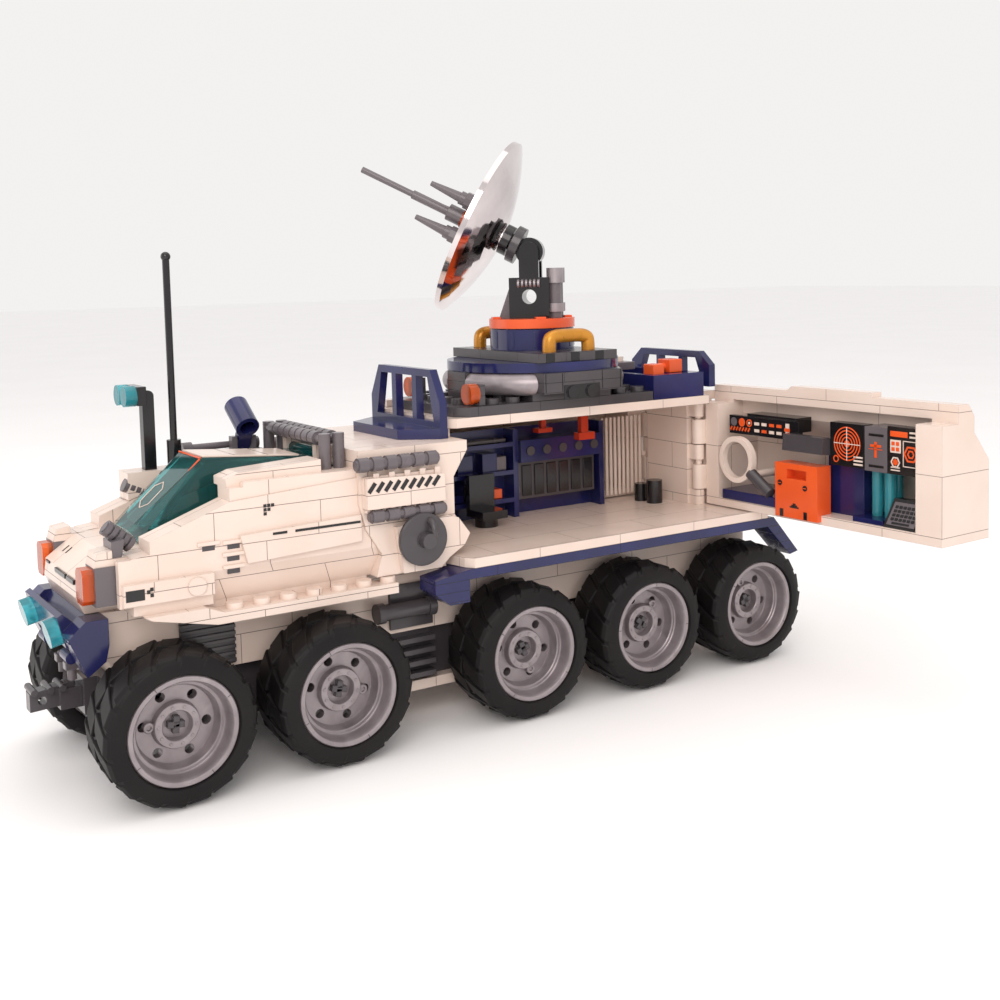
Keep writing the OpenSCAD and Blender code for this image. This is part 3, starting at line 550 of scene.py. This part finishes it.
# a smooth tube through points
def tube(points, radius, finish, matrix=None, sides=4):
    bpy.ops.curve.primitive_nurbs_path_add()
    made = bpy.context.object
    path = made.data.splines[0]
    path.points.add(len(points) - len(path.points))
    for spot, point in zip(path.points, points):
        spot.co = (*(Vector(point) * mm), 1)
    path.order_u, path.use_endpoint_u, path.resolution_u = 3, True, 5
    made.data.bevel_depth, made.data.bevel_resolution = radius * mm, sides
    made.data.use_fill_caps = True
    only(made)
    bpy.ops.object.convert(target="MESH")
    return paint(smoothRound(settle(bpy.context.object, matrix or moved), 50), finish)


# gives some faces of a node a second finish: the test reads the face's middle in millimetres
def splitFinish(name, finish, test):
    node = frame["nodes"][name]
    node.data.materials.append(finishes[finish])
    extra = len(node.data.materials) - 1
    points = node.data.vertices
    for face in node.data.polygons:
        middle = sum((points[i].co for i in face.vertices), Vector()) / len(face.vertices)
        if test((middle - zero) / mm):
            face.material_index = extra


doorOut = moved @ Matrix.Translation((15 * mm, 205 * mm, 0)) @ Matrix.Rotation(math.radians(92), 4, "Z") \
    @ Matrix.Translation((-15 * mm, -205 * mm, 0))
turretOut = moved @ Matrix.Translation((0, 142 * mm, 0)) @ Matrix.Rotation(math.radians(-40), 4, "Z")
dishOut = turretOut @ Matrix.Translation((0, 0, 149 * mm)) @ Matrix.Rotation(math.radians(63), 4, "X")

# prints and small fittings of the cabin and the nose

cabin = {"printDepth": 0.16, "face": 30, "tileFace": 31.8, "bandFace": 31.4, "label": 34.6}
deep = cabin["printDepth"]
parts = []
for side in (1, -1):
    band, face, tile = cabin["bandFace"], cabin["face"], cabin["tileFace"]
    parts.append(sideBlock(side, (band, 38.4, 68.6), (band + deep, 59, 69.3), "black_abs", 0))
    parts.append(sideBlock(side, (band, 31.6, 68.6), (band + deep, 35.9, 69.3), "black_abs", 0))
    for row in range(3):
        for spot in range(3 - row):
            y, z = 29.6 + spot * 1.15, 76.6 - row * 1.15
            parts.append(sideBlock(side, (face, y, z), (face + deep, y + 0.9, z + 0.9), "black_abs", 0))
    parts.append(sideBlock(side, (tile, -10.4, 55.9), (tile + deep, -5.4, 58.9), "black_abs", 0))
    for y, z in ((-4.8, 57.4), (-3.9, 56.4), (-3.9, 58)):
        parts.append(sideBlock(side, (tile, y, z), (tile + deep, y + 0.9, z + 1), "black_abs", 0))
    # painted shade: a dark grey block under each white lip stands for the shade inside the notches at the
    # front corners
    for y, z in ((11.4, 66.4), (18.6, 66), (18.4, 62.6), (18.4, 59)):
        parts.append(sideBlock(side, (face - 0.4, y, z), (face + 0.12, y + 3.6, z + 1.5),
                               "dark_grey_abs"))
        parts.append(sideBlock(side, (face, y - 1.4, z + 1.5), (face + 0.7, y + 5, z + 2.6), "white_abs",
                               0.2))
    for i in range(9):
        lean = placed(side * cabin["label"], 61.6 + i * 2.7, 79.1, "X", -38)
        parts.append(block((-deep, -0.62, -1.75), (deep, 0.62, 1.75), "black_abs", 0, lean))
    for y0, y1, z0, z1 in ((60.4, 86, 81, 82.2), (60.4, 86, 71.2, 72.4)):
        parts.append(sideBlock(side, (31, y0, z0), (32.6, y1, z1), "white_abs", 0.3))
        for i in range(5):
            y = y0 + 2.4 + i * 5.2
            parts.append(sideBlock(side, (32.6, y, z0 - 0.6), (33.4, y + 2, z1 + 1), "white_abs", 0.25))
    bpy.ops.mesh.primitive_torus_add(major_segments=28, minor_segments=12, major_radius=3.1 * mm,
                                     minor_radius=1.05 * mm, rotation=(math.pi / 2, 0, 0))
    parts.append(paint(smoothRound(settle(bpy.context.object, placed(side * 36.6, 79.4, 64.4)), 60),
                       "dark_grey_abs"))
    edge = placed(side * 35.5, 77.5, 61.8, "Y", 90 * side)
    parts.append(turned([(6.4, -0.3), (8.1, -0.3), (8.1, 0.7), (7.7, 1), (6.8, 1), (6.4, 0.7),
                         (6.4, -0.3)], "dark_grey_abs", 48, edge, 30, True))
for low, high in (((-16, -19.9, 60.2), (-12, -18, 60.9)), ((-4, -20.2, 59.4), (7.4, -18, 60.7)),
                  ((9, -20.2, 59.4), (16.6, -18, 60.7))):
    parts.append(block(low, high, "black_abs", 0.1))
for x in (-12, -8.6):
    slant = placed(0, -15, 64.15, "X", 35.5)
    parts.append(block((x, -1.2, -0.12), (x + 0.7, 1.2, 0.12), "black_abs", 0, slant))
for i in range(5):
    y, z = 5.2 + i * 1.7, 79.4 - i * 0.8
    parts.append(rod((-22, y, z), (-22, y + 1.2, z - 0.55), 2.2, "grey_abs", 0.25))
parts.append(rod((-22, 5.2, 79.4), (-22, 13.7, 75.4), 1.5, "grey_abs"))
for side in (1, -1):
    for x in (20, 22.6, 25.2):
        parts.append(sideBlock(side, (x, -24.4, 45.6), (x + 1, -20, 46.6), "navy_abs", 0.2))
    parts.append(rod((side * 9, -21.4, 39), (side * 16, -21.4, 39), 1.6, "navy_abs"))
    parts.append(rod((side * 5, -19, 30), (side * 5, -19, 36), 1.3, "grey_abs"))
    parts.append(sideBlock(side, (3.4, -21, 33), (6.6, -17, 35.4), "grey_abs", 0.3))
kit("cabinMarks", parts, "hull")

strip = placed(0, 19, 89.6, "X", -4.65)
parts = [block((-8.8, 0.6, 0.06), (8.8, 31, 0.7), "white_abs", 0.2, strip)]
for y in (10.4, 20.8):
    parts.append(block((-8.8, y, 0.68), (8.8, y + 0.16, 0.76), "grey_abs", 0, strip))
parts.append(rod((7.35, 8, 78.3), (9.55, 18.7, 89.4), 0.3, "orange_abs", 0, 10))
parts.append(rod((-9.5, 18.9, 89.65), (9.5, 18.9, 89.65), 0.3, "orange_abs", 0, 10))
hexagon = [(-3.6, 2, 0), (0, 0, 0), (3.6, 2, 0), (3.6, 8, 0), (0, 10, 0), (-3.6, 8, 0)]
screen = placed(0, 3.4, 75.55, "X", 42.1)
for i, corner in enumerate(hexagon):
    after = hexagon[(i + 1) % 6]
    parts.append(rod((*corner[:2], 0.05), (*after[:2], 0.05), 0.16, "white_abs", 0, 8, screen))
kit("screenTrim", parts, "canopy")
print("cabin details made")

# roof handles, windows and stowed bits

roof = {"handleRadius": 2.3, "blockFace": 31, "windowLow": 99.6, "windowHigh": 104.6}
parts = []
for x in (-22.4, 22.4):
    bow = [(x, y, 115.2 + z) for y, z in ((134, 0), (134, 2.6), (134.4, 4.6), (137, 5.2), (142, 5.2),
                                          (147, 5.2), (149.6, 4.6), (150, 2.6), (150, 0))]
    parts.append(tube(bow, roof["handleRadius"], "amber_abs"))
kit("roofHandle", parts, "hull", ["roof_handles"])
parts = []
for side in (1, -1):
    face = roof["blockFace"]
    parts.append(sideBlock(side, (face - 0.2, 133.8, roof["windowLow"]), (face + 0.2, 148.4,
                           roof["windowHigh"]), "black_abs", 0.15))
    for y in (137.2, 144.9):
        middle = (roof["windowLow"] + roof["windowHigh"]) / 2
        parts.append(rod((side * face, y, middle), (side * (face + 0.9), y, middle), 2.2, "black_abs"))
    for y in (126.6, 133.2, 149.4, 157):
        parts.append(sideBlock(side, (face, y, 102.6), (face + 0.14, y + 0.2, 108.6), "black_abs", 0))
    for y in (129, 139, 149):
        parts.append(sideBlock(side, (28, y, 112.2), (28.12, y + 3.4, 115.2), "black_abs", 0))
    parts.append(sideBlock(side, (13, 181, 104.2), (19, 186, 108), "orange_abs", 0.3))
parts.append(block((10, 190, 104.4), (17, 196, 109.2), "orange_abs", 0.3))
parts.append(rod((13.5, 186, 106.4), (13.5, 191, 106.4), 1.5, "orange_abs"))
parts.append(block((-18, 184, 104.4), (-6, 192, 107.4), "grey_abs", 0.3))
parts.append(rod((-12, 188, 107.4), (-12, 188, 109.2), 2.4, "white_abs", 0.3))
for angle in range(0, 360, 30):
    groove = placed(0, 142, 0, "Z", angle)
    parts.append(block((14.3, -0.5, 116), (14.75, 0.5, 121.6), "navy_abs", 0.1, groove))
kit("roofFittings", parts, "hull")
parts = []
for angle in (20, 110, 200, 290):
    notch = placed(0, 0, 0, "Z", angle, turretOut)
    parts.append(block((11.4, -1.8, 125.4), (14.2, 1.8, 126.6), "orange_abs", 0.25, notch))
for x in (-3, 3):
    parts.append(rod((x, 8.7, 128), (x, 8.7, 131), 2.9, "pearl_abs", 0.3, 20, turretOut))
    parts.append(rod((x, 8.7, 138), (x, 8.7, 143.2), 2.9, "pearl_abs", 0.3, 20, turretOut))
for i in range(6):
    parts.append(rod((6.3, -4 + i * 1.4, 138), (6.3, -3.2 + i * 1.4, 138), 1.5, "pearl_abs", 0.15, 16,
                     turretOut))
kit("mountFittings", parts, "turret")
splitFinish("dish_bracket", "black_abs",
            lambda p: abs(Vector((p.x, p.y - 142)).dot(Vector((-0.643, -0.766)))) < 7.02 and p.z > 126)

feed = {"barrel": 3.1, "ring": 6.6}
parts = [turned([(2.6, 3.9), (feed["ring"], 3.9), (feed["ring"], 6.9), (2.6, 6.9), (2.6, 3.9)],
                "dark_grey_abs", 40, dishOut, 30, True)]
parts.append(rod((0, 0, 15), (0, 0, 20.5), 3.2, "teal_lens", 0.3, 20, dishOut))
parts.append(rod((0, 0, 20.5), (0, 0, 26.5), 3.4, "amber_lens", 0.3, 20, dishOut))
parts.append(rod((0, 0, 26.5), (0, 0, 32), 3, "grey_abs", 0.4, 20, dishOut))
for angle in (60, 180, 300):
    aside = placed(0, 0, 0, "Z", angle, dishOut)
    parts.append(rod((7.4, 0, 17), (7.4, 0, 27.5), feed["barrel"], "grey_abs", 0.5, 8, aside))
    parts.append(rod((7.4, 0, 27.5), (7.4, 0, 29.6), 2.4, "grey_abs", 0.3, 16, aside))
kit("feedFittings", parts, "dish")
print("roof and dish details made")

# fittings and prints inside the open door

door = {"inner": 19.4, "boxFace": 14.4}
flat = door["inner"]


def mark(y0, y1, z0, z1, finish, x=None, thick=0.16):
    x = flat if x is None else x
    return block((x - thick, y0, z0), (x, y1, z1), finish, 0, doorOut)


def disc(y, z, radius, finish, x=None, sides=24, thick=0.16):
    x = flat if x is None else x
    return rod((x - thick, y, z), (x, y, z), radius, finish, 0, sides, doorOut)


# the magnifier's grip begins 3 mm from its ring, seen with the door closed
def isHandle(p):
    closed = doorOut.inverted() @ (moved @ (p * mm)) / mm
    return Vector((closed.y - 185.6, closed.z - 73)).length > 11.2


parts = []
for y, finish in ((190.6, "grey_abs"), (186.5, "orange_abs")):
    parts.append(disc(y, 86.1, 1.55, finish))
parts.append(ringMark(182.8, 86.1, flat, 1.4, 0.5, "orange_abs", doorOut))
parts.append(disc(182.8, 86.1, 0.5, "white_abs"))
for y, upper, lower in ((179, "white_abs", "white_abs"), (175.4, "white_abs", "orange_abs"),
                        (171.7, "orange_abs", "white_abs"), (168.1, "orange_abs", "white_abs")):
    parts.append(mark(y - 1.2, y + 1.2, 85.6, 86.7, upper))
    parts.append(mark(y - 1.2, y + 1.2, 83.1, 84.2, lower))
parts.append(mark(163.2, 165, 82.8, 87.4, "white_abs"))
parts.append(mark(162.8, 165.4, 84.6, 85.8, "orange_abs", flat - 0.16))
for i in range(7):
    lean = placed(flat - 0.08, 183 + i * 1.5, 83.6, "X", 35, doorOut)
    parts.append(block((-0.08, -0.35, -0.8), (0.08, 0.35, 0.8), "orange_abs", 0, lean))
for radius in (5.7, 4.6, 3.5, 2.4):
    parts.append(ringMark(137.2, 83, flat, radius, 0.42, "orange_abs", doorOut))
parts.append(disc(137.2, 83, 1.2, "orange_abs"))
parts.append(mark(131.6, 142.8, 82.85, 83.15, "white_abs", flat - 0.16))
parts.append(mark(137.05, 137.35, 77.4, 88.6, "white_abs", flat - 0.16))
parts.append(ringMark(142, 77.6, flat, 1.2, 0.4, "orange_abs", doorOut))
for z in (76.2, 77.4, 78.6):
    parts.append(mark(130.6, 134.4, z, z + 0.6, "white_abs"))
parts.append(mark(112.4, 119.2, 87.2, 89, "orange_abs"))
for z in (87.2, 88.6):
    parts.append(mark(108.2, 111.6, z, z + 0.6, "white_abs"))
parts.append(mark(115, 119.2, 82, 86.2, "white_abs"))
for y in (115.6, 117.4):
    for z in (82.6, 84.4):
        parts.append(mark(y, y + 1.2, z, z + 1.2, "orange_abs", flat - 0.16))
for y0, y1, z0, z1 in ((108, 114.2, 85.9, 86.2), (108, 114.2, 77.8, 78.1), (108, 108.3, 77.8, 86.2),
                       (113.9, 114.2, 77.8, 86.2)):
    parts.append(mark(y0, y1, z0, z1, "white_abs"))
parts.append(ringMark(111.1, 82, flat, 2.9, 0.7, "orange_abs", doorOut, 6))
parts.append(ringMark(111.1, 82, flat, 1.5, 0.6, "orange_abs", doorOut, 6))
parts.append(ringMark(117.2, 79, flat, 1.9, 0.5, "white_abs", doorOut, 6))
parts.append(disc(117.2, 79, 1.1, "orange_abs", None, 6))
for z in (76.2, 77.1):
    parts.append(mark(115.4, 119, z, z + 0.4, "white_abs"))
for y0, y1, z0, z1, finish in ((122, 128, 86.6, 87.4, "black_abs"), (122, 128, 76.4, 77.2, "black_abs"),
                               (123, 127.4, 83, 83.9, "orange_abs"), (124.7, 125.7, 79.6, 84.8, "orange_abs"),
                               (122.4, 128, 82.2, 82.5, "orange_abs")):
    parts.append(mark(y0, y1, z0, z1, finish))
slope = placed(17, 0, 58, "Y", 34.5, doorOut)
parts.append(block((-0.25, 108.4, 1), (0, 119.4, 9.2), "grey_abs", 0.05, slope))
for row in range(4):
    for column in range(6):
        y, z = 109.2 + column * 1.6, 2.6 + row * 1.45
        parts.append(block((-0.55, y, z), (-0.2, y + 1.1, z + 0.95), "black_abs", 0.08, slope))
parts.append(block((-0.5, 110.6, 1.4), (-0.2, 117.4, 2.1), "black_abs", 0.08, slope))
box = door["boxFace"]
for y, z in ((163, 67.6), (151.4, 66.8)):
    parts.append(disc(y, z, 0.95, "black_abs", box, 20, 0.3))
    parts.append(mark(y - 0.7, y + 0.7, z - 0.15, z + 0.15, "orange_abs", box - 0.3, 0.12))
for y in (150.6, 161.6):
    parts.append(mark(y, y + 1.4, 56, 58.6, "black_abs", box, 0.3))
for i, half in enumerate((2, 1.3, 0.6)):
    parts.append(mark(156.4 - half, 156.4 + half, 59.4 + i * 0.55, 59.9 + i * 0.55, "black_abs", box))
parts.append(block((16, 166.6, 57.9), (36.4, 193.6, 61.4), "navy_abs", 0.2, doorOut))
for y in (124.5, 127.4, 130.4):
    parts.append(rod((30, y, 60), (30, y, 80), 1.5, "teal_lens", 0.2, 16, doorOut))
kit("doorFittings", parts, "left_door")
splitFinish("locker", "teal_lens", lambda p: p.z < 74.9)
splitFinish("door_console", "dark_grey_abs", lambda p: p.z > 78.35)
splitFinish("magnifier", "dark_grey_abs", isHandle)
print("door details made")

# things kept in the bay

bay = {"back": -14.5}
parts = []
stored = ((102, 108, 61.6, 66, "grey_abs"), (110, 118, 61.6, 64.4, "navy_abs"),
          (121, 126, 61.6, 67, "dark_grey_abs"), (129, 134, 61.6, 65, "orange_abs"),
          (103, 111, 71.6, 73, "dark_grey_abs"), (130, 136, 71.6, 76.6, "grey_abs"),
          (102, 136, 81.6, 83, "dark_grey_abs"))
for y0, y1, z0, z1, finish in stored:
    parts.append(block((bay["back"], y0, z0), (bay["back"] + 5, y1, z1), finish, 0.3))
for y in (144, 151, 158, 165, 172):
    parts.append(rod((-6, y, 78), (-5.5, y, 78), 1.7, "dark_grey_abs", 0.15, 16))
parts.append(block((-14.4, 141, 60), (-10, 175, 73.6), "dark_grey_abs", 0.3))
for i in range(6):
    parts.append(block((-10, 142.6 + i * 5.4, 61.2), (-9.4, 146.6 + i * 5.4, 72.4), "black_abs", 0.2))
for i in range(10):
    parts.append(block((-14.4, 181 + i * 2, 56), (-13.4, 182.2 + i * 2, 86), "white_abs", 0.3))
kit("bayFittings", parts, "hull")
print("bay details made")
